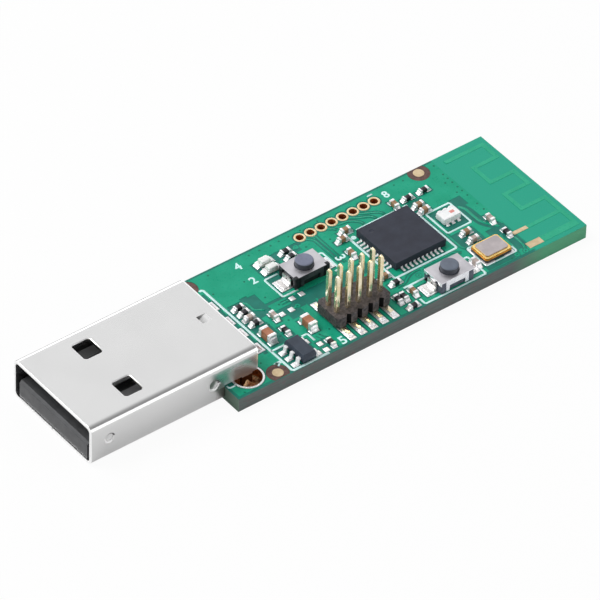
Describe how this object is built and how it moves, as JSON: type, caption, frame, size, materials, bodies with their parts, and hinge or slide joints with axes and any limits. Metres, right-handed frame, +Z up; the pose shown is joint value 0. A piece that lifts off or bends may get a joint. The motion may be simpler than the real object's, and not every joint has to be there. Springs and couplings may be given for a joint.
{
  "type": "usb radio stick",
  "caption": "Bare circuit board stick with a full-size USB plug, a printed aerial, a radio chip, a two-row pin header and two small push buttons.",
  "frame": {"origin": "middle of the stick, on the plane of the board underside", "axes": "+X from the plug tip to the aerial end, +Y to the long edge with the row of eight plated holes, +Z up out of the component side"},
  "size_m": [0.0566, 0.016, 0.0074],
  "materials": {
    "board_laminate": "glossy green solder mask over woven glass laminate",
    "gold_plate": "pale gold flash over nickel",
    "tinned_copper": "bright tin",
    "solder": "reflowed solder",
    "masked_copper": "copper under green solder mask",
    "shell_nickel": "satin nickel plate",
    "connector_plastic": "moulded, dark grey",
    "chip_epoxy": "moulded epoxy, charcoal",
    "dark_ceramic": "dark alumina",
    "kovar_lid": "satin nickel-iron lid",
    "header_plastic": "moulded, black",
    "white_ceramic": "white fired ceramic",
    "brown_ceramic": "fired, red-brown",
    "tan_ceramic": "fired, tan",
    "resistor_glaze": "black glaze",
    "switch_plastic": "moulded, near black",
    "switch_steel": "pressed sheet, silver plated",
    "plunger_plastic": "moulded, slate grey",
    "lamp_substrate": "white laminate",
    "lamp_resin": "milky clear resin"
  },
  "bodies": {
    "stick": {"aerial_capacitor": "tan_ceramic", "aerial_resistors": "resistor_glaze", "antenna_trace": "masked_copper", "board": "board_laminate", "chip_capacitor_left": "tan_ceramic", "chip_capacitor_low": "tan_ceramic", "chip_capacitor_right_a": "tan_ceramic", "chip_capacitor_right_b": "tan_ceramic", "chip_capacitor_top": "tan_ceramic", "crystal_base": "dark_ceramic", "crystal_capacitor": "tan_ceramic", "crystal_lid": "kovar_lid", "crystal_seal_ring": "gold_plate", "edge_switch_base": "switch_plastic", "edge_switch_cover": "switch_steel", "edge_switch_dome": "switch_steel", "edge_switch_left_terminal": "tinned_copper", "edge_switch_right_terminal": "tinned_copper", "filter_body": "white_ceramic", "filter_capacitor_a": "tan_ceramic", "filter_capacitor_b": "tan_ceramic", "filter_terminals": "tinned_copper", "header_body": "header_plastic", "header_hole_barrels": "gold_plate", "header_pins_far": "gold_plate", "header_pins_near": "gold_plate", "input_capacitor": "brown_ceramic", "lamp_resistors": "resistor_glaze", "leg_hole_barrels": "tinned_copper", "lower_lamp_base": "lamp_substrate", "lower_lamp_lens": "lamp_resin", "middle_switch_base": "switch_plastic", "middle_switch_cover": "switch_steel", "middle_switch_dome": "switch_steel", "middle_switch_left_terminal": "tinned_copper", "middle_switch_right_terminal": "tinned_copper", "output_capacitor": "brown_ceramic", "radio_chip": "chip_epoxy", "radio_chip_terminals": "tinned_copper", "regulator_body": "chip_epoxy", "regulator_leads": "tinned_copper", "regulator_resistors": "resistor_glaze", "reset_capacitor": "tan_ceramic", "row_capacitor_a": "tan_ceramic", "row_capacitor_b": "tan_ceramic", "solder_pads": "solder", "switch_capacitor": "tan_ceramic", "switch_resistors": "resistor_glaze", "upper_lamp_base": "lamp_substrate", "upper_lamp_lens": "lamp_resin", "usb_capacitor": "tan_ceramic", "usb_contact_data_minus": "gold_plate", "usb_contact_data_plus": "gold_plate", "usb_contact_ground": "gold_plate", "usb_contact_power": "gold_plate", "usb_resistors": "resistor_glaze", "usb_shell": "shell_nickel", "usb_tongue": "connector_plastic"},
    "middle_button": {"middle_switch_plunger": "plunger_plastic"},
    "edge_button": {"edge_switch_plunger": "plunger_plastic"}
  },
  "joints": [
    {"name": "middle_button_press", "type": "slide", "parent": "stick", "child": "middle_button", "axis": [0, 0, -1], "range_m": [0, 0.00025], "stiffness_N_per_m": 6400, "deforming": ["middle_switch_dome"]},
    {"name": "edge_button_press", "type": "slide", "parent": "stick", "child": "edge_button", "axis": [0, 0, -1], "range_m": [0, 0.00025], "stiffness_N_per_m": 6400, "deforming": ["edge_switch_dome"]}
  ]
}
